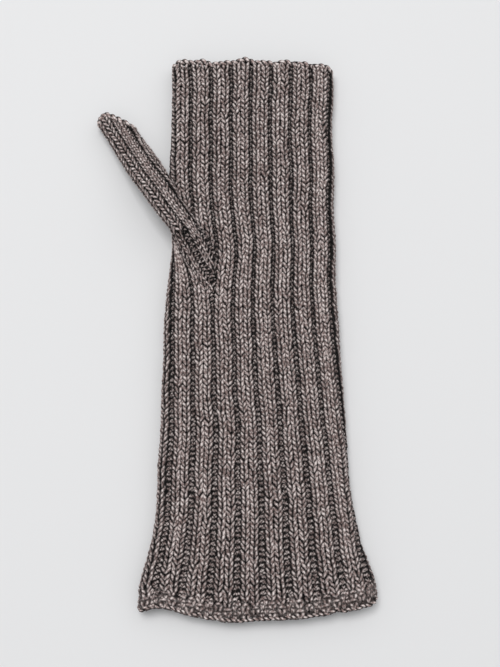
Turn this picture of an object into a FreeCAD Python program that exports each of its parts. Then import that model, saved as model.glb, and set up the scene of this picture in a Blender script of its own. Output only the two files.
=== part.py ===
import FreeCAD, Part
import math
import os

# A fingerless glove: one seamless knitted tube with a full thumb sleeve, lying flat.
# Frame: +Z up, +Y from the cuff to the finger end, the thumb towards -X.
# The origin is under the middle of the whole glove, on the surface it lies on.
# All lengths are in millimetres and all angles in degrees.

Vector = FreeCAD.Vector
UP = Vector(0, 0, 1)
ACROSS = Vector(1, 0, 0)

# ---- the flattened tube of the hand and forearm ----
HALF_LENGTH = 145.0         # the glove is 290 long from the cuff edge to the finger end
LAYERS_HIGH = 11.0          # height of the two layers and the slack space between them
WALL = 3.1                  # thickness of one layer of the ribbed fabric
PRESSED_FLAT = 0.1          # the outer loops on the underside are flattened by this much

CENTRE_LINE_X = 11.45       # the tube's middle, to the right of the origin because of the thumb
CUFF_SKEW = 2.6             # how far the flared cuff drifts to the right of that middle

# Each station along the tube: its place along Y, its flat width, and its share of the skew.
TUBE_STATIONS = [
    (-145.0, 115.4, 1.00),
    (-136.0, 114.4, 1.00),
    (-125.0, 108.6, 0.97),
    (-110.0, 101.4, 0.80),
    (-85.0, 95.4, 0.42),
    (-45.0, 91.4, 0.10),
    (0.0, 88.0, 0.00),
    (38.0, 84.6, 0.00),
    (75.0, 86.2, 0.00),
    (110.0, 85.2, 0.00),
    (145.0, 86.6, 0.00),
]

# ---- where the knitted sections meet ----
CAST_ON_TOP_Y = -138.0      # the cast-on band is 7 high
CUFF_TOP_Y = -88.0          # the flare ends here
GUSSET_START_Y = -12.0      # the first increase of the thumb gusset
BIND_OFF_BASE_Y = 140.6     # the finger end's bound-off chain starts here

# ---- the wrist, where the tube bends about a line across it ----
WRIST_Y = -34.0
WRIST_KNUCKLE_R = 7.5       # the forearm section ends in a round nose of this radius
JOINT_GAP = 0.4             # clearance between the sections on the two sides of a bend

# ---- the thumb ----
THUMB_BASE = Vector(-13.75, 41.0, 0)   # plan position of the thumb's root on the front layer
THUMB_LEAN = 35.0           # the sleeve leans this far from +Y towards -X
THUMB_WIDTH = 16.2          # flat width of the sleeve
THUMB_HIGH = 10.0           # height of its two layers
THUMB_WALL = 2.6
RIM_WALL = 2.2             # the bound-off rim is a little thinner
THUMB_ROOT_Z = 16.8         # middle height of the sleeve where it lies on the front layer
THUMB_FLOOR_Z = 5.0         # middle height where it lies on the ground beside the hand

SWING_NOSE_R = 9.5          # the gusset ends in a round nose of this radius about the swing axis
LIFT_S = 17.0               # the lift axis crosses the sleeve this far from the root
LIFT_NOSE_R = 6.8           # radius of the round nose about the lift axis
SLEEVE_END_S = 79.0         # the bound-off rim starts here
TIP_S = 89.6                # the open end of the thumb
TIP_WIDTH = 13.2            # the rim draws the end in
TIP_SHIFT = -2.0            # and leans it to the outer side

# The sleeve lies on the hand as far as the first place and on the ground from the second.
DROP_START_S = 31.0
DROP_END_S = 75.0
SLEEVE_STEPS = 20           # straight pieces that the sleeve's curve is made of

# ---- the gusset, a hood that grows out of the front layer towards the thumb's root ----
# Each station: plan position, lean, outer width, outer height and middle height.
GUSSET_STATIONS = [
    (Vector(-7.65, GUSSET_START_Y, 0), 0.0, 5.0, 3.0, 10.6),
    (Vector(-8.25, 6.0, 0), 3.0, 11.0, 7.4, 10.8),
    (Vector(-10.15, 24.0, 0), 12.0, 15.6, 9.6, 13.9),
    (THUMB_BASE, 26.0, THUMB_WIDTH + 0.6, THUMB_HIGH, THUMB_ROOT_Z),
]
GUSSET_NOSE_S = 12.0        # the hood's last station, past the round nose
ENTRY_CENTRE = Vector(-10.95, 27.0, 0)   # the slit through which the thumb leaves the hand
ENTRY_LONG = 26.0
ENTRY_WIDE = 10.6
ENTRY_LEAN = 12.0


def leaned(angle):
    """The plan directions along and across something that leans from +Y towards -X."""
    turn = math.radians(angle)
    along = Vector(-math.sin(turn), math.cos(turn), 0)
    return along, Vector(math.cos(turn), math.sin(turn), 0)


def flat_oval(centre, across, width, height):
    """A closed wire: a rectangle with round sides, standing upright on the line across."""
    r = height / 2
    half = across * (width / 2 - r)
    lift = UP * r
    top_left = centre - half + lift
    top_right = centre + half + lift
    low_right = centre + half - lift
    low_left = centre - half - lift
    right = centre + across * (width / 2)
    left = centre - across * (width / 2)
    return Part.Wire([
        Part.LineSegment(top_left, top_right).toShape(),
        Part.Arc(top_right, right, low_right).toShape(),
        Part.LineSegment(low_right, low_left).toShape(),
        Part.Arc(low_left, left, top_left).toShape(),
    ])


def hollow_loft(sections, wall, ruled=False):
    """A fabric tube through sections of (centre, across, width, height), open at both ends."""
    outer = Part.makeLoft([flat_oval(*s) for s in sections], True, ruled)
    shrunk = [(c, a, w - 2 * wall, h - 2 * wall) for c, a, w, h in sections]
    inner = Part.makeLoft([flat_oval(*s) for s in shrunk], True, ruled)
    return outer.cut(inner)


def slab(low_y, high_y):
    """All of space near the glove between two places along Y."""
    return Part.makeBox(300, high_y - low_y, 80, Vector(-150, low_y, -20))


def cross_cylinder(centre, direction, radius):
    """A long cylinder through centre along direction."""
    return Part.makeCylinder(radius, 200, centre - direction * 100, direction)


def body_tube():
    """The whole flattened tube from the cuff edge to the finger end, flat where it lies."""
    sections = []
    height = LAYERS_HIGH + PRESSED_FLAT
    for y, width, skew in TUBE_STATIONS:
        centre = Vector(CENTRE_LINE_X + CUFF_SKEW * skew, y, LAYERS_HIGH - height / 2)
        sections.append((centre, ACROSS, width, height))
    ground = Part.makeBox(300, 400, 20, Vector(-150, -200, -20))
    return hollow_loft(sections, WALL).cut(ground)


def entry_slit():
    """The upright oval through the front layer and the gusset's floor."""
    along, across = leaned(ENTRY_LEAN)
    r = ENTRY_WIDE / 2
    reach = along * (ENTRY_LONG / 2 - r)
    side = across * r
    base = ENTRY_CENTRE + UP * (LAYERS_HIGH - WALL - 0.5)
    tip = along * (ENTRY_LONG / 2)
    outline = Part.Wire([
        Part.LineSegment(base - reach - side, base + reach - side).toShape(),
        Part.Arc(base + reach - side, base + tip, base + reach + side).toShape(),
        Part.LineSegment(base + reach + side, base - reach + side).toShape(),
        Part.Arc(base - reach + side, base - tip, base - reach - side).toShape(),
    ])
    return Part.Face(outline).extrude(UP * (THUMB_ROOT_Z - base.z))


def sleeve_middle(s):
    """Middle height of the sleeve: level on the hand, an easy slope, level on the ground."""
    share = min(1, max(0, (s - DROP_START_S) / (DROP_END_S - DROP_START_S)))
    eased = share * share * (3 - 2 * share)
    return THUMB_ROOT_Z + (THUMB_FLOOR_Z - THUMB_ROOT_Z) * eased


def thumb_section(s, middle_z, width=THUMB_WIDTH, height=THUMB_HIGH, shift=0.0):
    """One section across the sleeve, s along it from the root."""
    along, across = leaned(THUMB_LEAN)
    centre = THUMB_BASE + along * s + across * shift + UP * middle_z
    return centre, across, width, height


def ahead_of_swing(radius):
    """Space on the thumb's side of the swing axis and outside a cylinder about it."""
    along, across = leaned(THUMB_LEAN)
    behind = Part.makeBox(120, 60, 60, Vector(-60, -60, -20))
    behind.rotate(Vector(0, 0, 0), UP, THUMB_LEAN)
    behind.translate(THUMB_BASE)
    upright = Part.makeCylinder(radius, 60, THUMB_BASE - UP * 20, UP)
    return behind.fuse(upright)


def before_lift(radius):
    """Space on the root's side of the lift axis, with a cylinder about that axis."""
    along, across = leaned(THUMB_LEAN)
    axis_point = THUMB_BASE + along * LIFT_S + UP * THUMB_ROOT_Z
    box = Part.makeBox(120, 60, 80, Vector(-60, -60, -40))
    box.rotate(Vector(0, 0, 0), UP, THUMB_LEAN)
    box.translate(axis_point)
    return box.fuse(cross_cylinder(axis_point, across, radius))


def thumb_gusset(slit):
    """The hood over the slit, standing on the front layer and ending in a round nose."""
    sections = []
    for centre, lean, width, height, middle_z in GUSSET_STATIONS:
        sections.append((centre + UP * middle_z, leaned(lean)[1], width, height))
    sections.append(thumb_section(GUSSET_NOSE_S, THUMB_ROOT_Z))
    outer = Part.makeLoft([flat_oval(*s) for s in sections], True)
    roomy = [(c, a, w - 2 * THUMB_WALL, h - 2 * THUMB_WALL) for c, a, w, h in sections[2:]]
    inner = Part.makeLoft([flat_oval(*s) for s in roomy], True)
    under = Part.makeBox(200, 200, LAYERS_HIGH + 20, Vector(-100, -100, -20))
    hood = outer.cut(inner).cut(under).cut(slit)
    return hood.common(ahead_of_swing(SWING_NOSE_R))


def thumb_tube():
    """The sleeve from inside the gusset's nose to the start of the rim."""
    places = [SLEEVE_END_S * step / SLEEVE_STEPS for step in range(SLEEVE_STEPS + 1)]
    return hollow_loft([thumb_section(s, sleeve_middle(s)) for s in places], THUMB_WALL, True)


def thumb_rim():
    """The bound-off rim, drawn in towards the outer side."""
    height = THUMB_HIGH - 0.4
    return hollow_loft([
        thumb_section(SLEEVE_END_S, THUMB_FLOOR_Z),
        thumb_section(SLEEVE_END_S + 6, THUMB_FLOOR_Z, THUMB_WIDTH - 1.4, THUMB_HIGH, -0.6),
        thumb_section(TIP_S, THUMB_FLOOR_Z - 0.2, TIP_WIDTH, height, TIP_SHIFT),
    ], RIM_WALL)


def save(name, shape):
    shape = shape.removeSplitter()
    print(f"{name}: {len(shape.Solids)} solid, {shape.Volume / 1000:.2f} cm3, valid {shape.isValid()}")
    shape.exportStep(f"parts/{name}.step")


def main():
    os.makedirs("parts", exist_ok=True)
    tube = body_tube()
    slit = entry_slit()
    wrist = Vector(CENTRE_LINE_X, WRIST_Y, LAYERS_HIGH / 2)
    below_wrist = slab(-200, WRIST_Y)
    forearm_side = below_wrist.fuse(cross_cylinder(wrist, ACROSS, WRIST_KNUCKLE_R))
    cleared_side = below_wrist.fuse(cross_cylinder(wrist, ACROSS, WRIST_KNUCKLE_R + JOINT_GAP))
    hand = tube.cut(cleared_side)

    save("cast_on_edge", tube.common(slab(-HALF_LENGTH - 1, CAST_ON_TOP_Y)))
    save("cuff_rib", tube.common(slab(CAST_ON_TOP_Y, CUFF_TOP_Y)))
    save("forearm_rib", tube.common(forearm_side).common(slab(CUFF_TOP_Y, 0)))
    save("wrist_rib", hand.common(slab(-60, GUSSET_START_Y)))
    save("hand_rib", hand.common(slab(GUSSET_START_Y, BIND_OFF_BASE_Y)).cut(slit))
    save("finger_end_bind_off", hand.common(slab(BIND_OFF_BASE_Y, HALF_LENGTH + 1)))

    sleeve = thumb_tube().cut(ahead_of_swing(SWING_NOSE_R + JOINT_GAP))
    save("thumb_gusset", thumb_gusset(slit))
    save("thumb_base", sleeve.common(before_lift(LIFT_NOSE_R)))
    save("thumb_sleeve", sleeve.cut(before_lift(LIFT_NOSE_R + JOINT_GAP)))
    save("thumb_bind_off", thumb_rim())


main()
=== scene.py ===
import math

import bpy
import numpy as np
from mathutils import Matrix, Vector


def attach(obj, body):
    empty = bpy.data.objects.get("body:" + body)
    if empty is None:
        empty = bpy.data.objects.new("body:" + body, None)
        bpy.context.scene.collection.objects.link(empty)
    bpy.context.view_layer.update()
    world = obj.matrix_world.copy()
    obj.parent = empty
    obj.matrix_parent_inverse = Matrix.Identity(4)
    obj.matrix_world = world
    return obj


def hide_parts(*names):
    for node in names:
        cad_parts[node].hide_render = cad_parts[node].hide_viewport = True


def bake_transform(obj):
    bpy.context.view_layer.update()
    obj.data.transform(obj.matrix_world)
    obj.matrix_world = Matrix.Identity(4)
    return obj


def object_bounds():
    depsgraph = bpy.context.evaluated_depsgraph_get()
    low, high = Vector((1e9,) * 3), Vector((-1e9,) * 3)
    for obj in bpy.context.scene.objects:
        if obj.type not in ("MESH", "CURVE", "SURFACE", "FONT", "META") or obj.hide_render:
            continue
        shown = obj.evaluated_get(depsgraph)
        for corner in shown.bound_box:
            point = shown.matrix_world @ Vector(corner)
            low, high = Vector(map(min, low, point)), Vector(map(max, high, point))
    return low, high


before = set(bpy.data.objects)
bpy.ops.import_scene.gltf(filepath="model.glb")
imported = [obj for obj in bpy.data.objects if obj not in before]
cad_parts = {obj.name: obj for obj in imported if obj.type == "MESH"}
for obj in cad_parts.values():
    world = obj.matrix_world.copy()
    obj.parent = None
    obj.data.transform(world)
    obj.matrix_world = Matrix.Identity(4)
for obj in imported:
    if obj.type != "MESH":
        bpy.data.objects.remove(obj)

# A ribbed fingerless glove, modelled stitch by stitch: each piece of the knitting is one yarn that
# winds up the glove and follows its loops over the fabric's surface. Lengths in the tables are in
# millimetres and become metres where a mesh is made. The glove lies in the CAD frame: +Y to the
# finger end, +Z out of the front layer, and the thumb towards -X.

CAD_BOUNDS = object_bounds()
MM = 0.001
RANDOM = np.random.default_rng(7)

# ---- the fabric ----
ROUND_HIGH = 2.6            # height of one round of stitches
RIBS = 18                   # 2x2 ribs round the hand
STITCHES = 4 * RIBS
STEPS = 12                  # points along the yarn in one stitch
SIDES = 6                   # sides of the yarn's tube
FULL_STITCH = 3.0           # a stitch narrower than this has thinner, squeezed yarn
FOLD_CALM = 0.6             # on a fold of the tube the ribs stand out less by this share

# ---- the tube of hand and forearm ----
CUFF_Y = -145.0
LOW_Z, HIGH_Z = 2.35, 8.75  # middle of the back layer and of the front layer
SIDE_INSET = 1.5            # from the outline in to the middle of the fabric
# The outline: the place along Y, and the left or right edge there.
LEFT_EDGE = [
    (-145, -43.9), (-134, -43.1), (-127, -41.0), (-120, -38.7), (-108, -36.6), (-90, -35.3),
    (-60, -34.0), (-25, -33.6), (0, -33.0), (18, -31.9), (30, -29.9), (38.5, -28.3),
    (47, -29.6), (57, -31.0), (72, -32.0), (95, -31.5), (125, -31.2), (139, -31.8), (145, -31.0),
]
RIGHT_EDGE = [
    (-145, 71.9), (-139, 71.4), (-128, 68.0), (-117, 64.4), (-99, 61.2), (-80, 59.3),
    (-50, 57.8), (-25, 56.5), (0, 55.1), (20, 54.4), (60, 54.2), (85, 54.4), (115, 53.9),
    (137, 55.4), (145, 55.0),
]
# The share of a rib that its two knit stitches take, along Y.
KNIT_SHARE = [(-145, 0.71), (-100, 0.73), (-30, 0.78), (20, 0.82), (145, 0.83)]
# Which rib lies on the left fold and on the right fold, counted from the left fold's first rib.
LEFT_RIB = [(-145, -1.20), (-134, -1.18), (-109, -1.06), (-79, -1.07), (-50, -1.08), (-4, -1.0),
            (41, -0.81), (75, -0.64), (104, -0.54), (145, -0.50)]
RIGHT_RIB = [(-145, 7.76), (-134, 7.72), (-109, 7.48), (-79, 7.42), (-50, 7.60), (-4, 7.82),
             (41, 7.79), (104, 7.68), (145, 7.66)]
FOLD_CROWD = 0.13           # ribs drawn in to the right fold
SEAM_RIB = 12               # the rounds begin here, in the middle of the back layer
# How far the knit wales stand out and the purl wales sink in, along Y.
RELIEF = [(-136, 0.1), (-128, 0.45), (-60, 0.62), (0, 0.85), (30, 1.0), (145, 0.95)]

# ---- the thumb ----
THUMB_START_S = -44.0       # along the thumb from its base: the first increase of the gusset
SLEEVE_WALES_S = 10.0       # the gusset's wales give way to the sleeve's here
THUMB_END_S = 88.4
KNIT_START_S = -29.0        # the first rounds of the gusset are purl
THUMB_INSET = 1.5           # from the edge in to the middle of the fabric
CROWDED_TO = -8.6           # the ribs left of this give way to the thumb's root
# Each station: s along the thumb, the left and right edges of its round in plan with the middle
# heights there, and the half height of the middle of the fabric.
THUMB_ROUNDS = [
    (-44.0, (-9.0, 0.0, 6.8), (-6.8, 0.0, 6.8), 0.6),
    (-34.0, (-10.6, 9.0, 7.4), (-6.6, 9.5, 7.2), 0.7),
    (-26.0, (-13.4, 15.6, 8.0), (-6.4, 17.2, 7.8), 0.9),
    (-20.0, (-17.4, 20.0, 8.5), (-6.4, 23.0, 8.1), 1.1),
    (-14.0, (-20.2, 25.0, 9.2), (-6.4, 29.4, 8.5), 1.3),
    (-6.0, (-23.0, 31.0, 10.6), (-6.5, 36.6, 9.2), 1.7),
    (1.0, (-25.6, 35.8, 12.2), (-8.8, 43.4, 10.2), 2.3),
    (8.0, (-27.9, 40.3, 14.6), (-14.8, 49.2, 12.2), 3.0),
    (14.0, (-31.3, 45.2, 16.2), (-18.6, 54.0, 14.3), 3.4),
    (24.0, (-36.9, 53.4, 16.8), (-24.1, 62.2, 16.2), 3.4),
    (34.0, (-42.6, 61.7, 16.4), (-28.6, 71.4, 16.4), 3.4),
    (48.3, (-50.7, 73.4, 12.0), (-35.6, 83.7, 12.0), 3.4),
    (65.0, (-59.2, 87.8, 6.8), (-43.7, 96.6, 6.8), 3.4),
    (80.2, (-66.9, 101.0, 5.0), (-52.2, 109.4, 5.0), 3.4),
    (96.0, (-74.9, 114.7, 4.9), (-60.9, 122.6, 4.9), 3.3),
]
# The wales round the thumb from its left fold, knit 1 and purl -1, with their widths.
GUSSET_FRONT = [(1, 2.4), (1, 2.4), (-1, 1.9), (-1, 1.9), (1, 2.2), (1, 2.2), (-1, 1.9), (-1, 1.9),
                (-1, 1.9)]
GUSSET_BACK = [(-1, 2.2)] * 6
THUMB_FRONT = [(1, 3.6), (1, 3.6), (-1, 0.9), (1, 2.4), (1, 2.4), (-1, 1.0), (1, 2.5), (1, 2.5)]
THUMB_BACK = [(-1, 1.0), (-1, 1.0), (1, 2.6), (1, 2.6), (-1, 1.2), (-1, 1.2), (1, 2.4), (1, 2.4),
              (-1, 1.2), (-1, 1.2)]

# ---- the yarn ----
YARN = {
    "r": 0.80,              # radius
    "depth": 0.62,          # how far a loop swings in front of and behind its layer
    "reach": 0.98,          # how far a loop reaches up and down, in rounds
    "pinch": 0.27,          # how far a leg leans into its neighbour, in stitches
    "jitter": 1.3,          # how uneven the stitches are
    "thinnest": 0.8,        # the least share of the radius that a narrow stitch keeps
    "base": CUFF_Y,         # where round 0 lies
    "pitch": ROUND_HIGH,
    "lowest": -999.0,       # no loop reaches below this
}
# Seed stitch has lower rounds and is more uneven than rib, and the thumb's yarn is pulled thinner.
SEED_YARN = {**YARN, "r": 0.76, "depth": 0.55, "reach": 1.05, "jitter": 2.2, "pitch": 1.95,
             "lowest": CUFF_Y - 0.8}
THUMB_YARN = {**YARN, "r": 0.70, "depth": 0.55, "thinnest": 0.78, "base": THUMB_START_S}
GUSSET_YARN = {**THUMB_YARN, "jitter": 1.6}


def ease(x, low, high):
    """0 below low, 1 above high, and an S-curve between."""
    share = np.clip((np.asarray(x, float) - low) / (high - low), 0, 1)
    return share * share * (3 - 2 * share)


def smooth_line(stations, blur=5.0):
    """A function through given stations, with their corners rounded over about blur."""
    at = np.array([s[0] for s in stations], float)
    value = np.array([s[1] for s in stations], float)
    grid = np.arange(at[0] - 40, at[-1] + 40.5, 0.5)
    raw = np.interp(grid, at, value)
    reach = np.arange(-3 * blur, 3 * blur + 0.5, 0.5)
    weight = np.exp(-0.5 * (reach / blur) ** 2)
    padded = np.pad(raw, len(reach) // 2, mode="edge")
    soft = np.convolve(padded, weight / weight.sum(), "valid")[: len(grid)]
    return lambda y: np.interp(y, grid, soft)


left_edge = smooth_line(LEFT_EDGE, 3.0)
right_edge = smooth_line(RIGHT_EDGE, 3.0)
knit_share = smooth_line(KNIT_SHARE, 12.0)
relief_depth = smooth_line(RELIEF, 6.0)
left_rib = smooth_line(LEFT_RIB, 8.0)
right_rib = smooth_line(RIGHT_RIB, 8.0)


class Waves:
    """A gentle fixed random surface: a few sines of random direction and phase."""

    def __init__(self, size, height, count=7):
        turn = RANDOM.uniform(0, 2 * np.pi, count)
        length = size * RANDOM.uniform(0.7, 1.6, count)
        self.kx = np.cos(turn) * 2 * np.pi / length
        self.ky = np.sin(turn) * 2 * np.pi / length
        self.phase = RANDOM.uniform(0, 2 * np.pi, count)
        self.height = height / math.sqrt(count / 2)

    def __call__(self, x, y):
        total = sum(np.sin(a * x + b * y + p) for a, b, p in zip(self.kx, self.ky, self.phase))
        return self.height * total


# Along Y: where the ribs beside the thumb's root are crowded to, and the left and right edges of
# the patch of the front layer that the root presses down.
crowd_line = smooth_line([(-30, -8.8), (4, -9.0), (13, -10.5), (17.3, -11.6), (21.7, -13.6),
                          (26.1, -16.4), (30.5, -19.6), (34.9, -23.2), (40.3, -27.7), (50, -34.4),
                          (60, -41)], 1.5)
root_left = smooth_line([(-30, -8.8), (9, -10.6), (15.6, -13.4), (20, -17.4), (25, -20.2),
                         (31, -23), (35.8, -25.6), (40.3, -27.9), (50, -34.4), (60, -41)], 1.5)
root_right = smooth_line([(-30, -6.8), (36.6, -6.8), (43.4, -9.0), (49.2, -14.8), (54, -18.6),
                          (62, -24.1), (78, -32.2)], 1.5)
# How far the fabric wanders sideways, along the tube and in height.
drift_x = Waves(38, 0.16)
drift_y = Waves(30, 0.35)
drift_z = Waves(45, 0.28)


def round_bow(x, y):
    """How far the rounds bow along Y: the cuff and the finger end are gently curved."""
    middle = (left_edge(y) + right_edge(y)) / 2
    half = (right_edge(y) - left_edge(y)) / 2
    side = (x - middle) / half
    to_right = np.clip(side, 0, 1)
    to_left = np.clip(-side, 0, 1)
    at_cuff = 6.0 * ease(to_left, 0.3, 0.85) - 1.5 * ease(to_left, 0.84, 0.97) + 9.0 * to_right ** 2
    at_finger = -0.6 * to_left ** 2 - 4.0 * to_right ** 2.2
    return at_cuff * ease(-y, 30, 145) + at_finger * ease(y, 0, 145)


def round_table(pick, blur=2.0):
    """A function of s through one value of each of the thumb's stations."""
    return smooth_line([(r[0], pick(r)) for r in THUMB_ROUNDS], blur)


thumb_ends = [[round_table(lambda r, end=end, axis=axis: r[end][axis]) for axis in range(3)]
              for end in (1, 2)]
thumb_half = round_table(lambda r: r[3])
thumb_outer = round_table(lambda r: math.dist(r[1][:2], r[2][:2]))


def thumb_width(s):
    """Width of the middle of the fabric across the thumb."""
    return np.maximum(thumb_outer(s) - 2 * THUMB_INSET, 2 * thumb_half(s) + 0.4)


def end_slant(side):
    """How far the thumb's last rounds fall back towards the base, across the thumb."""
    right = 27 * np.clip(side - 0.38, 0, 1) ** 1.2
    left = 3 * (np.clip(0.25 - side, 0, 1) / 0.25) ** 1.5
    return right + left


def thumb_surface(q, s):
    """A point on the middle of the thumb's fabric and its outward normal."""
    width, r = thumb_width(s), thumb_half(s)
    along, height, out_x, out_z = flat_round(q, width, r)
    outer = thumb_outer(s)
    side = 0.5 + (along - width / 2) / outer
    s = s - end_slant(side) * ease(s, 50, 90)
    side = 0.45 + (side - 0.45) * (1 + 0.02 * ease(s, 76, 90))
    left, right = [[line(s) for line in end] for end in thumb_ends]
    place = [a + (b - a) * side for a, b in zip(left, right)]
    across = np.stack([right[0] - left[0], right[1] - left[1], 0 * s], -1)
    across = across / np.linalg.norm(across, axis=1)[:, None]
    normal = across * out_x[:, None] + np.array([0, 0, 1.0]) * out_z[:, None]
    drift = drift_y(place[1], place[0])
    return np.stack([place[0], place[1] + drift, place[2] + height], -1), normal


def flat_round(q, width, r):
    """A place on a flattened round of the given width and half height. q runs from the left fold
    over the top, 0 to 0.5, and back under, 0.5 to 1. Returns the distance from the left end, the
    height over the middle, and the outward direction as its sideways and upward parts."""
    q = np.mod(q, 1.0)
    flat = np.maximum(width - 2 * r, 0)
    around = 2 * flat + 2 * np.pi * r
    s = q * around
    quarter = np.pi * r / 2
    ends = [quarter, quarter + flat, 3 * quarter + flat, 3 * quarter + 2 * flat]
    parts = [s < end for end in ends]
    top, low = np.pi / 2 + 0 * s, 3 * np.pi / 2 + 0 * s
    angle = np.select(parts, [s / r, top, top + (s - ends[1]) / r, low], low + (s - ends[3]) / r)
    slide = np.select(parts, [0 * s, s - ends[0], flat + 0 * s, flat - (s - ends[2])], 0 * s)
    return r + slide - r * np.cos(angle), r * np.sin(angle), -np.cos(angle), np.sin(angle)


def rib_place(share, y):
    """Where a share of the ribs lies round the tube: the two layers aren't stretched alike."""
    first, last = left_rib(y), right_rib(y)
    rib = np.mod(share * RIBS - first, RIBS)
    front = last - first
    rib = rib - FOLD_CROWD * np.exp(-((rib - front) / 0.8) ** 2)
    back = RIBS - front
    return np.where(rib < front, rib / front / 2, 0.5 + (rib - front) / back / 2)


def body_surface(share, y):
    """A point on the middle of the body's fabric and its outward normal, a share of the ribs
    round from the left fold's first rib."""
    q = rib_place(share, y)
    r = (HIGH_Z - LOW_Z) / 2
    left = left_edge(y) + SIDE_INSET
    width = right_edge(y) - SIDE_INSET - left
    along, height, out_x, out_z = flat_round(q, width, r)
    x = left + along
    front = ease(out_z, -0.2, 0.9)
    x = x + push_aside(x, y) * front
    z = (LOW_Z + HIGH_Z) / 2 + height + drift_z(x, y) * front + press_down(x, y) * front
    bowed = y + round_bow(x, y) + drift_y(x, y) + 1.6 * (1 - front) * ease(-y, 115, 142)
    place = np.stack([x + drift_x(x, y), bowed, z], -1)
    return place, np.stack([out_x, 0 * x, out_z], -1)


def push_aside(x, y):
    """The thumb's root crowds the ribs beside it towards the left fold."""
    left = left_edge(y)
    target = np.maximum(crowd_line(y) + 0.8, left + 5.0)
    share = np.clip((x - left) / (CROWDED_TO - left), 0, 1)
    moved = left + share * (target - left) - np.minimum(x, CROWDED_TO)
    hidden = 1 - ease(x, CROWDED_TO, CROWDED_TO + 1.8)
    back = 29 + 0.75 * np.clip(CROWDED_TO - x, 0, 25)
    return moved * hidden * (1 - ease(y, back, back + 11)) * ease(y, -6, 4)


def press_down(x, y):
    """The front layer sinks under the thumb's root."""
    across = ease(x, root_left(y) + 0.5, root_left(y) + 4)
    across = across * (1 - ease(x, root_right(y) - 2, root_right(y) + 0.5))
    return -2.4 * across * ease(y, 6, 26) * (1 - ease(y, 48, 72))


def stitch_layout(share, ribs, phase):
    """Where the stitches of one round begin, as shares of the way round, and which are knit.
    Two knit stitches take up share of each rib, and two purl stitches the rest."""
    steps = np.array([0, share / 2, share, share + (1 - share) / 2])
    starts = (np.arange(ribs)[:, None] + steps[None]).ravel() / ribs + phase - share / 2 / ribs
    kinds = np.tile([1.0, 1.0, -1.0, -1.0], ribs)
    return starts, kinds


def thumb_layout(j):
    """The stitches of one round of the thumb. Each layer keeps the wales that fit in it, counted
    from where its side of the round begins."""
    s = THUMB_START_S + j * ROUND_HIGH
    half = float(thumb_width(s) + (math.pi - 2) * thumb_half(s))
    starts, kinds = [], []
    sides = (THUMB_FRONT, THUMB_BACK) if s > SLEEVE_WALES_S else (GUSSET_FRONT, GUSSET_BACK)
    for side, wales in enumerate(sides):
        used = 0.0
        for kind, width in wales:
            if used > 0 and half - used < 0.7 * width:
                break
            starts.append((side + used / half) / 2)
            kinds.append(kind if s > KNIT_START_S else -1)
            used += width
    return np.array(starts), np.array(kinds, float)


def surface_round(surface, y):
    """The length of one round of a surface, in millimetres."""
    if surface is thumb_surface:
        return 2 * (thumb_width(y) + (math.pi - 2) * thumb_half(y))
    r = (HIGH_Z - LOW_Z) / 2
    return 2 * (right_edge(y) - left_edge(y) - 2 * SIDE_INSET + (math.pi - 2) * r)


def stitch_kind(kinds, above, k, t):
    """Along a round, how far the yarn is knit, 1, or purl, -1: it turns over between stitches, and
    a loop's head goes the way of the stitch above it."""
    turns = np.arange(-1, len(kinds) + 1)
    knots = np.concatenate([turns + 0.28, turns + 0.72])
    level = np.concatenate([kinds[-1:], kinds, kinds[:1]] * 2)
    order = np.argsort(knots)
    kind = np.interp(k + t, knots[order], level[order])
    head = np.clip(-np.cos(2 * np.pi * t), 0, 1)
    return kind + (above[k] - kinds[k]) * head


def yarn_round(j, layout, surface, relief, yarn):
    """Round j of the yarn, as yarn_path gives it."""
    starts, kinds = layout(j)
    n = len(starts)
    above = layout(j + 1)[1]
    above = above if len(above) == n else kinds
    width = np.diff(np.append(starts, starts[0] + 1))
    uneven = RANDOM.normal(0, 1, (5, n)) * yarn["jitter"]
    k = np.repeat(np.arange(n), STEPS)
    t = np.tile(np.arange(STEPS) / STEPS, n)
    pinch = yarn["pinch"] * (1 + 0.12 * uneven[0][k])
    q = starts[k] + width[k] * (t + pinch * np.sin(4 * np.pi * t) + 0.03 * uneven[4][k])
    reach = yarn["reach"] * (1 + 0.07 * uneven[1][k])
    y = j + (k + t) / n - reach * np.cos(2 * np.pi * t) + 0.05 * uneven[2][k]
    y = np.maximum(yarn["base"] + y * yarn["pitch"], yarn["lowest"])
    kind = stitch_kind(kinds, above, k, t)
    lift = -kind * yarn["depth"] * np.cos(4 * np.pi * t)
    place, normal = surface(q, y)
    fold = 1 - np.abs(normal[:, 2])
    raised = lift + kind * relief(y) * (1 - FOLD_CALM * fold) + 0.05 * uneven[3][k]
    room = np.clip(width[k] * surface_round(surface, y) / FULL_STITCH, yarn["thinnest"], 1.0)
    radius = yarn["r"] * room * (1 + 0.04 * uneven[3][k] - 0.13 * kind * np.cos(4 * np.pi * t))
    return place + normal * raised[:, None], normal, radius, lift, raised


def yarn_path(rounds, layout, surface, relief, yarn):
    """The yarn's middle line through the given rounds. layout(j) gives the stitches' starts and
    kinds in round j, surface(q, y) the fabric, and relief(y) the depth of the ribs.
    Returns points, normals, radii, and the heights over the loops' and the layer's middle."""
    rows = [yarn_round(j, layout, surface, relief, yarn) for j in rounds]
    return [np.concatenate(part) for part in zip(*rows)]


def tube_points(path, normals, radii, turn):
    """Rings of points round a path in millimetres, and its two ends, in metres."""
    tangent = np.gradient(path, axis=0)
    tangent /= np.linalg.norm(tangent, axis=1)[:, None]
    side = np.cross(tangent, normals)
    side /= np.maximum(np.linalg.norm(side, axis=1), 1e-6)[:, None]
    up = np.cross(side, tangent)
    ring = np.cos(turn)[None, :, None] * up[:, None] + np.sin(turn)[None, :, None] * side[:, None]
    points = path[:, None] + ring * radii[:, None, None]
    return np.concatenate([points.reshape(-1, 3), path[:1], path[-1:]]) * MM


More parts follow.
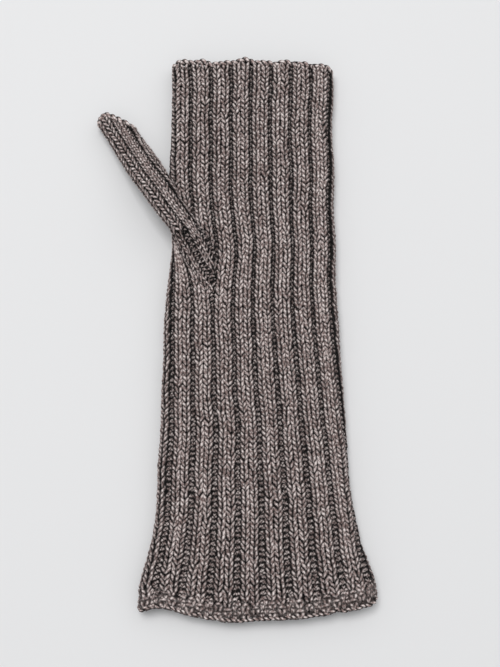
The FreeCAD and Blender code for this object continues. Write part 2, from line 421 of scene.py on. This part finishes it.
def tube_faces(count):
    """The quads of a tube of count rings, and the triangles that close its two ends."""
    i = np.arange(count - 1)[:, None] * SIDES
    k = np.arange(SIDES)[None]
    nxt = (k + 1) % SIDES
    quads = np.stack([i + k, i + nxt, i + SIDES + nxt, i + SIDES + k], -1).reshape(-1, 4)
    first, last = count * SIDES, count * SIDES + 1
    base = (count - 1) * SIDES
    caps = [(first, (n + 1) % SIDES, n) for n in range(SIDES)]
    caps += [(last, base + n, base + (n + 1) % SIDES) for n in range(SIDES)]
    return quads, np.array(caps)


def new_mesh(name, points, quads, caps):
    """A smooth-shaded mesh of the points, quads and triangles."""
    mesh = bpy.data.meshes.new(name)
    loops = np.concatenate([quads.ravel(), caps.ravel()])
    sizes = np.concatenate([np.full(len(quads), 4), np.full(len(caps), 3)])
    mesh.vertices.add(len(points))
    mesh.vertices.foreach_set("co", points.astype(np.float32).ravel())
    mesh.loops.add(len(loops))
    mesh.loops.foreach_set("vertex_index", loops.astype(np.int32))
    mesh.polygons.add(len(sizes))
    mesh.polygons.foreach_set("loop_start", (np.cumsum(sizes) - sizes).astype(np.int32))
    mesh.polygons.foreach_set("use_smooth", np.ones(len(sizes), bool))
    mesh.update(calc_edges=True)
    mesh.validate()
    return mesh


def painted_light_from_proudness(lift, raised, radii, turn, least):
    """How far each point stands out of its loops and out of the ribs, from 0 to 1: the level of the
    painted shade in the gaps and the painted highlight on the loops' tops.
    """
    outward = radii[:, None] * np.cos(turn)[None]
    most = np.abs(lift).max() + radii[:, None]
    loop = ease(np.abs(lift[:, None] + outward) / most, 0.42, 0.97)
    rib = ease(np.abs(raised[:, None] + outward), 0.1, 2.0)
    painted_light_level = least + (1 - least) * loop * (0.78 + 0.22 * rib)
    return np.concatenate([painted_light_level.ravel(), [0, 0]])


def tube_mesh(name, path, normals, radii, lift, raised, row_points, least=0.0):
    """A closed round tube along a path of points in millimetres. Its mesh carries what the yarn
    material needs: run, the length along the yarn; ply_a and ply_b, the direction round it; and
    the level, from how far each point stands out, of the painted shade and painted highlight that
    the material puts on its colour. row_points is how many points one round has, for the UV layer."""
    count = len(path)
    turn = np.arange(SIDES) / SIDES * 2 * np.pi
    quads, caps = tube_faces(count)
    mesh = new_mesh(name, tube_points(path, normals, radii, turn), quads, caps)
    run = np.concatenate([[0], np.cumsum(np.linalg.norm(np.diff(path, axis=0), axis=1))])
    carried = {
        "run": np.concatenate([np.repeat(run, SIDES), run[:1], run[-1:]]),
        "ply_a": np.concatenate([np.tile(np.cos(turn), count), [0, 0]]),
        "ply_b": np.concatenate([np.tile(np.sin(turn), count), [0, 0]]),
        # the level of the painted shade and painted highlight for the yarn's colour
        "painted_light_level": painted_light_from_proudness(lift, raised, radii, turn, least),
    }
    for label, values in carried.items():
        data = mesh.attributes.new(label, "FLOAT", "POINT")
        data.data.foreach_set("value", values.astype(np.float32))
    lay_out_rows(mesh, count, len(caps), row_points)
    obj = bpy.data.objects.new(name, mesh)
    bpy.context.collection.objects.link(obj)
    return obj


def lay_out_rows(mesh, count, caps, row_points):
    """A UV layer with the yarn's rounds as stacked strips."""
    rows = math.ceil((count - 1) / row_points)
    i = np.arange(count - 1)
    row, column = i // row_points, i % row_points
    k = np.arange(SIDES)
    shape = (count - 1, SIDES)
    u0 = np.broadcast_to((column / row_points)[:, None], shape)
    u1 = np.broadcast_to(((column + 1) / row_points)[:, None], shape)
    low = (row[:, None] + 0.04 + 0.92 * k[None] / SIDES) / rows
    high = (row[:, None] + 0.04 + 0.92 * (k[None] + 1) / SIDES) / rows
    quads = np.stack([u0, low, u0, high, u1, high, u1, low], -1).reshape(-1, 2)
    layer = mesh.uv_layers.new(name="OFBake")
    corner = np.concatenate([quads, np.zeros((caps * 3, 2))])
    layer.data.foreach_set("uv", corner.astype(np.float32).ravel())


# ---- the camera, at the height and lean of someone who stands over the table ----
VIEW_LEAN = math.radians(13)        # from straight down, towards the cuff
VIEW_DISTANCE = 520.0
VIEW_TARGET = (10.55, -5.9, 5.5)    # from the middle of the glove's ground, in millimetres
SENSOR_HIGH = 24.0
LENS = 36.95


def make_camera():
    middle = [(low + high) / 2 for low, high in zip(*CAD_BOUNDS)]
    target = np.array([middle[0], middle[1], CAD_BOUNDS[0][2]]) + np.array(VIEW_TARGET) * MM
    away = np.array([0, -math.sin(VIEW_LEAN), math.cos(VIEW_LEAN)])
    data = bpy.data.cameras.new("camera")
    data.sensor_fit = "VERTICAL"
    data.sensor_height = SENSOR_HIGH
    data.lens = LENS
    data.clip_start = 0.01
    camera = bpy.data.objects.new("camera", data)
    bpy.context.collection.objects.link(camera)
    camera.location = target + away * VIEW_DISTANCE * MM
    camera.rotation_euler = (VIEW_LEAN, 0, 0)
    bpy.context.scene.camera = camera


def area_light(name, place, power, size):
    """A square light at a place in metres, turned to the frame's origin."""
    data = bpy.data.lights.new(name, "AREA")
    data.energy = power
    data.size = size
    light = bpy.data.objects.new(name, data)
    bpy.context.collection.objects.link(light)
    light.location = place
    x, y, z = place
    light.rotation_euler = (math.atan2(math.hypot(x, y), z), 0, math.atan2(x, -y))


FLOOR_SIZE = 6
FLOOR_GAP = 0.4             # the floor lies this far below the glove's lowest CAD face
CEILING_PLACE, CEILING_POWER, CEILING_SIZE = (-0.35, 0.45, 2.0), 22, 1.0
WINDOW_PLACE, WINDOW_POWER, WINDOW_SIZE = (1.0, 0.7, 1.7), 6, 2.2
SKY_STRENGTH = 0.46


def make_floor():
    bpy.ops.mesh.primitive_plane_add(size=FLOOR_SIZE,
                                     location=(0, 0, CAD_BOUNDS[0][2] - FLOOR_GAP * MM))
    floor = bpy.context.object
    floor.name = "floor"
    plain = bpy.data.materials.new("floor")
    plain.use_nodes = True
    shader = plain.node_tree.nodes["Principled BSDF"]
    shader.inputs["Base Color"].default_value = (0.80, 0.80, 0.805, 1)
    shader.inputs["Roughness"].default_value = 0.95
    floor.data.materials.append(plain)


def make_lights():
    area_light("ceiling", CEILING_PLACE, CEILING_POWER, CEILING_SIZE)
    area_light("window", WINDOW_PLACE, WINDOW_POWER, WINDOW_SIZE)
    world = bpy.data.worlds.new("studio")
    world.use_nodes = True
    world.node_tree.nodes["Background"].inputs["Color"].default_value = (0.98, 0.99, 1.0, 1)
    world.node_tree.nodes["Background"].inputs["Strength"].default_value = SKY_STRENGTH
    bpy.context.scene.world = world
    bpy.context.scene.view_settings.view_transform = "Standard"


# ---- the yarn's material ----
def node(tree, kind, inputs=None, **settings):
    """A new shader node. An input that is another node's socket is linked, and others are set."""
    made = tree.nodes.new(kind)
    for key, value in settings.items():
        setattr(made, key, value)
    for key, value in (inputs or {}).items():
        if isinstance(value, bpy.types.NodeSocket):
            tree.links.new(value, made.inputs[key])
        else:
            made.inputs[key].default_value = value
    return made


def maths(tree, operation, a, b=0.0):
    return node(tree, "ShaderNodeMath", {0: a, 1: b}, operation=operation).outputs[0]


def attribute(tree, name):
    return node(tree, "ShaderNodeAttribute", attribute_name=name).outputs["Fac"]


def ramp(tree, value, stops):
    """A smooth colour ramp through stops of (place, colour)."""
    made = node(tree, "ShaderNodeValToRGB", {"Fac": value})
    made.color_ramp.interpolation = "B_SPLINE"
    while len(made.color_ramp.elements) < len(stops):
        made.color_ramp.elements.new(0.5)
    for element, (place, colour) in zip(made.color_ramp.elements, stops):
        element.position = place
        element.color = (*colour, 1)
    return made.outputs["Color"]


DARK_PLY = (0.152, 0.108, 0.100)
MID_PLY = (0.31, 0.249, 0.238)
PALE_PLY = (0.57, 0.50, 0.48)
# the cap on the painted highlight: the palest wool
PAINTED_HIGHLIGHT_CAP = (0.86, 0.81, 0.79)
SHEEN_TINT = (0.9, 0.84, 0.82, 1)
PLY_PITCH = 2.3             # one turn of the two plies about each other
# How much each of these mixes the dark and the pale fibres, and what is taken off their sum.
TWIST_MIX, TUFT_MIX, BLOTCH_MIX, LENGTH_MIX, MIX_OFFSET = 0.24, 1.5, 0.95, 0.45, 0.96
SHADE_POWER = 1.9           # how fast the painted shade darkens the yarn into the gaps between the loops
DEEPEST_PAINTED_SHADE, PROUDEST_PAINTED_HIGHLIGHT = 0.008, 2.08     # the painted shade at the bottom of a gap and the painted highlight on top of a loop


def ply_twist(tree, run):
    """A wave from -1 to 1 round and along the yarn: the two plies wound about each other."""
    turned = maths(tree, "MULTIPLY", run, 2 * math.pi / PLY_PITCH)
    return maths(tree, "SUBTRACT",
                 maths(tree, "MULTIPLY", attribute(tree, "ply_a"), maths(tree, "COSINE", turned)),
                 maths(tree, "MULTIPLY", attribute(tree, "ply_b"), maths(tree, "SINE", turned)))


def marl_colour(tree, run, twist, lightness):
    """The plies' colours, mixed by their twist, by tufts and blotches of fibre, and along the yarn."""
    place = node(tree, "ShaderNodeTexCoord").outputs["Object"]
    tufts = node(tree, "ShaderNodeTexNoise", {"Vector": place, "Scale": 1400.0, "Detail": 4.0})
    blotch = node(tree, "ShaderNodeTexNoise", {"Vector": place, "Scale": 230.0, "Detail": 2.0})
    along = {"W": maths(tree, "MULTIPLY", run, 0.16), "Scale": 1.0, "Detail": 2.0}
    length = node(tree, "ShaderNodeTexNoise", along, noise_dimensions="1D")
    mix = maths(tree, "MULTIPLY", twist, TWIST_MIX)
    for noise, weight in ((tufts, TUFT_MIX), (blotch, BLOTCH_MIX), (length, LENGTH_MIX)):
        mix = maths(tree, "ADD", mix, maths(tree, "MULTIPLY", noise.outputs["Fac"], weight))
    mix = maths(tree, "SUBTRACT", mix, MIX_OFFSET)
    dark, mid, pale = [tuple(c * lightness for c in ply) for ply in (DARK_PLY, MID_PLY, PALE_PLY)]
    return ramp(tree, mix, [(0.22, dark), (0.5, mid), (0.8, pale)])


def shaded_colour(tree, colour):
    """The colour with painted shade, darker in the gaps between the loops, and a painted highlight on
    the loops' tops, never brighter than the palest wool.
    """
    painted_light_level = maths(tree, "POWER", attribute(tree, "painted_light_level"), SHADE_POWER)
    shade = node(tree, "ShaderNodeMapRange", {"Value": painted_light_level, "To Min": DEEPEST_PAINTED_SHADE, "To Max": PROUDEST_PAINTED_HIGHLIGHT})
    lit = node(tree, "ShaderNodeVectorMath", {0: colour, 1: shade.outputs["Result"]},
               operation="MULTIPLY")
    held = node(tree, "ShaderNodeVectorMath", {0: lit.outputs["Vector"], 1: PAINTED_HIGHLIGHT_CAP},
                operation="MINIMUM")
    return held.outputs["Vector"]


def fibre_noise(tree, run, twist):
    """Fine fibres that run along the yarn and turn with its plies."""
    place = node(tree, "ShaderNodeCombineXYZ", {
        "X": maths(tree, "MULTIPLY", run, 0.9),
        "Y": maths(tree, "ADD", maths(tree, "MULTIPLY", attribute(tree, "ply_a"), 2.2), twist),
        "Z": maths(tree, "MULTIPLY", attribute(tree, "ply_b"), 2.2)}).outputs[0]
    fibres = node(tree, "ShaderNodeTexNoise", {"Vector": place, "Scale": 2.4, "Detail": 4.0})
    return fibres.outputs["Fac"]


def yarn_material(name, lightness=1.0):
    """Two-ply marled wool: a dark and a pale ply twisted together, with mixed fibres in each."""
    material = bpy.data.materials.new(name)
    material.use_nodes = True
    tree = material.node_tree
    shader = tree.nodes["Principled BSDF"]
    run = attribute(tree, "run")
    twist = ply_twist(tree, run)
    # the ply colours get painted shade in the gaps between the loops and a painted highlight on the
    # loops' tops
    colour = shaded_colour(tree, marl_colour(tree, run, twist, lightness))
    tree.links.new(colour, shader.inputs["Base Color"])
    fibres = fibre_noise(tree, run, twist)
    height = maths(tree, "ADD", maths(tree, "MULTIPLY", twist, 0.4), fibres)
    bump = node(tree, "ShaderNodeBump", {"Height": height, "Strength": 0.7, "Distance": 0.0003})
    tree.links.new(bump.outputs["Normal"], shader.inputs["Normal"])
    rough = maths(tree, "ADD", maths(tree, "MULTIPLY", fibres, 0.2), 0.75)
    tree.links.new(rough, shader.inputs["Roughness"])
    shader.inputs["Sheen Weight"].default_value = 0.13
    shader.inputs["Sheen Roughness"].default_value = 0.5
    shader.inputs["Sheen Tint"].default_value = SHEEN_TINT
    shader.inputs["Specular IOR Level"].default_value = 0.16
    return material


# ---- the knitted pieces ----
BAND_ROUNDS = 4             # low rounds of seed stitch above the cast-on edge
BAND_PAINTED_SHADE_FLOOR = 0.28            # seed stitch has no deep gaps, so its painted shade never goes darker than this level
# The rounds of full height where the pieces of ribbing begin and end.
CUFF_ROUNDS = [3, 14, 26]
FOREARM_ROUNDS = [26, 37]
WRIST_ROUNDS = [37, 49]
HAND_ROUNDS = [49, 62, 75, 88, 100, 110]
GUSSET_ROUNDS = [0, 23]
SLEEVE_ROUNDS = [23, 51]
THUMB_ROW = 20              # about how many stitches a round of the thumb has
CUFF_CHAIN_Y, FINGER_CHAIN_Y = -145.4, 141.8
CUFF_LOOPS, FINGER_LOOPS, THUMB_LOOPS = 90, 60, 18
CHAIN_STRAND = (1.0, 0.86)  # a strand's radius, and how far it swings round the other
CAST_ON_STRAND = (0.62, 0.55)
CHAIN_STEPS = 10            # points along a strand in one loop of the chain


def body_layout(j):
    share = float(knit_share(CUFF_Y + j * ROUND_HIGH))
    return stitch_layout(share, RIBS, SEAM_RIB / RIBS)


def band_layout(j):
    """Seed stitch: knit and purl change places in every round, up to the rib above the band."""
    starts, kinds = body_layout(CUFF_ROUNDS[0])
    if j < BAND_ROUNDS:
        kinds = np.where((np.arange(STITCHES) + j) % 2 == 0, 1.0, -1.0)
    return starts, kinds


def wear(piece, material):
    """Gives the piece its material."""
    piece.data.materials.append(material)


def knit(name, first, last, layout, surface, relief, yarn, row=STITCHES, painted_shade_floor=0.0):
    """A piece of knitting from round first up to round last."""
    path = yarn_path(range(first, last), layout, surface, relief, yarn)
    # The last argument is the floor of the painted shade on the piece.
    piece = tube_mesh(name, *path, row * STEPS, painted_shade_floor)
    wear(piece, RIB_YARN)
    return piece


def knit_body(name, first, last):
    return knit(name, first, last, body_layout, body_surface, relief_depth, YARN)


def thumb_relief(s):
    """How far the thumb's wales stand out and sink in: less at the tip of the gusset."""
    return 0.25 + 0.35 * ease(s, -15, 12)


def knit_thumb(name, first, last, yarn):
    return knit(name, first, last, thumb_layout, thumb_surface, thumb_relief, yarn, THUMB_ROW)


def chain_middle(surface, y, loops, scallop, rough):
    """Shares of the way round an edge, and the chain's middle line, the fabric's normals and the
    directions out over the edge there."""
    q = np.linspace(0, 1, loops * CHAIN_STEPS + 1)
    wave = np.cos(2 * np.pi * (q * RIBS - 0.15))
    uneven = np.interp(q * loops, np.arange(loops + 1), RANDOM.normal(0, rough, loops + 1))
    middle, normal = surface(q, y + scallop * wave + uneven)
    along = np.gradient(middle, axis=0)
    along /= np.linalg.norm(along, axis=1)[:, None]
    return q, middle, normal, np.cross(along, normal)


def join_pieces(pieces):
    """Joins the pieces into the first of them."""
    bpy.ops.object.select_all(action="DESELECT")
    for one in pieces:
        one.select_set(True)
    bpy.context.view_layer.objects.active = pieces[0]
    bpy.ops.object.join()
    return pieces[0]


def edge_chain(name, surface, y, loops, scallop, strand=CHAIN_STRAND, rough=0.1):
    """Two strands twisted about each other along an edge: the loops of a bound-off edge. It waves
    by scallop with the ribs, and by rough from loop to loop."""
    thick, swing = strand
    q, middle, normal, beyond = chain_middle(surface, y, loops, scallop, rough)
    strands = []
    for start in (0.0, math.pi):
        turn = 2 * np.pi * q * loops / 2 + start
        offset = normal * np.cos(turn)[:, None] + beyond * np.sin(turn)[:, None]
        path = middle + offset * swing
        wobble = RANDOM.normal(0, 0.03, (len(path), 1))
        level = swing * np.cos(turn)
        # level and a steady height of 2 set the painted shade and painted highlight on the strands
        strands.append(tube_mesh(name, path + wobble * normal, normal, thick + 0 * q, level,
                                 2 + 0 * q, loops * CHAIN_STEPS))
    piece = join_pieces(strands)
    piece.name = name
    wear(piece, EDGE_YARN)
    return piece


def place_on(piece, body, *replaced):
    """The piece moves with the body and stands for the named CAD nodes, if any."""
    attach(piece, body)
    if replaced:
        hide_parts(*replaced)


def knit_cuff():
    band = knit("cuff_band", 0, BAND_ROUNDS, band_layout, body_surface, relief_depth, SEED_YARN,
                painted_shade_floor=BAND_PAINTED_SHADE_FLOOR)
    place_on(band, "forearm", "cast_on_edge")
    edge = edge_chain("cuff_edge", body_surface, CUFF_CHAIN_Y, CUFF_LOOPS, 0.1, CAST_ON_STRAND, 0.3)
    place_on(edge, "forearm")
    bottom, middle, top = CUFF_ROUNDS
    place_on(knit_body("cuff_rib_lower", bottom, middle), "forearm", "cuff_rib")
    place_on(knit_body("cuff_rib_upper", middle, top), "forearm")


def knit_forearm():
    place_on(knit_body("forearm_ribbing", *FOREARM_ROUNDS), "forearm", "forearm_rib")


def knit_wrist():
    """The knit between forearm and hand."""
    wrist = knit_body("wrist_ribbing", *WRIST_ROUNDS)
    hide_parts("wrist_rib")
    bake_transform(wrist)


def knit_hand():
    for number, (first, last) in enumerate(zip(HAND_ROUNDS, HAND_ROUNDS[1:]), start=1):
        replaced = ["hand_rib"] if number == 1 else []
        place_on(knit_body(f"hand_ribbing_{number}", first, last), "hand", *replaced)
    edge = edge_chain("finger_end_chain", body_surface, FINGER_CHAIN_Y, FINGER_LOOPS, 0.6, rough=0.3)
    place_on(edge, "hand", "finger_end_bind_off")


def knit_gusset():
    """The knit between hand and thumb."""
    gusset = knit_thumb("thumb_gusset_knit", *GUSSET_ROUNDS, GUSSET_YARN)
    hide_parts("thumb_gusset", "thumb_base")
    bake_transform(gusset)


def knit_sleeve():
    """The thumb's sleeve and the chain at its end."""
    sleeve = knit_thumb("thumb_sleeve_knit", *SLEEVE_ROUNDS, THUMB_YARN)
    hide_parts("thumb_sleeve")
    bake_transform(sleeve)
    edge = edge_chain("thumb_chain", thumb_surface, THUMB_END_S, THUMB_LOOPS, 0.0)
    place_on(edge, "thumb", "thumb_bind_off")


make_camera()
make_floor()
make_lights()
RIB_YARN = yarn_material("marled_wool")
EDGE_YARN = yarn_material("marled_wool_edge", 1.05)
knit_cuff()
knit_forearm()
knit_wrist()
knit_hand()
knit_gusset()
knit_sleeve()
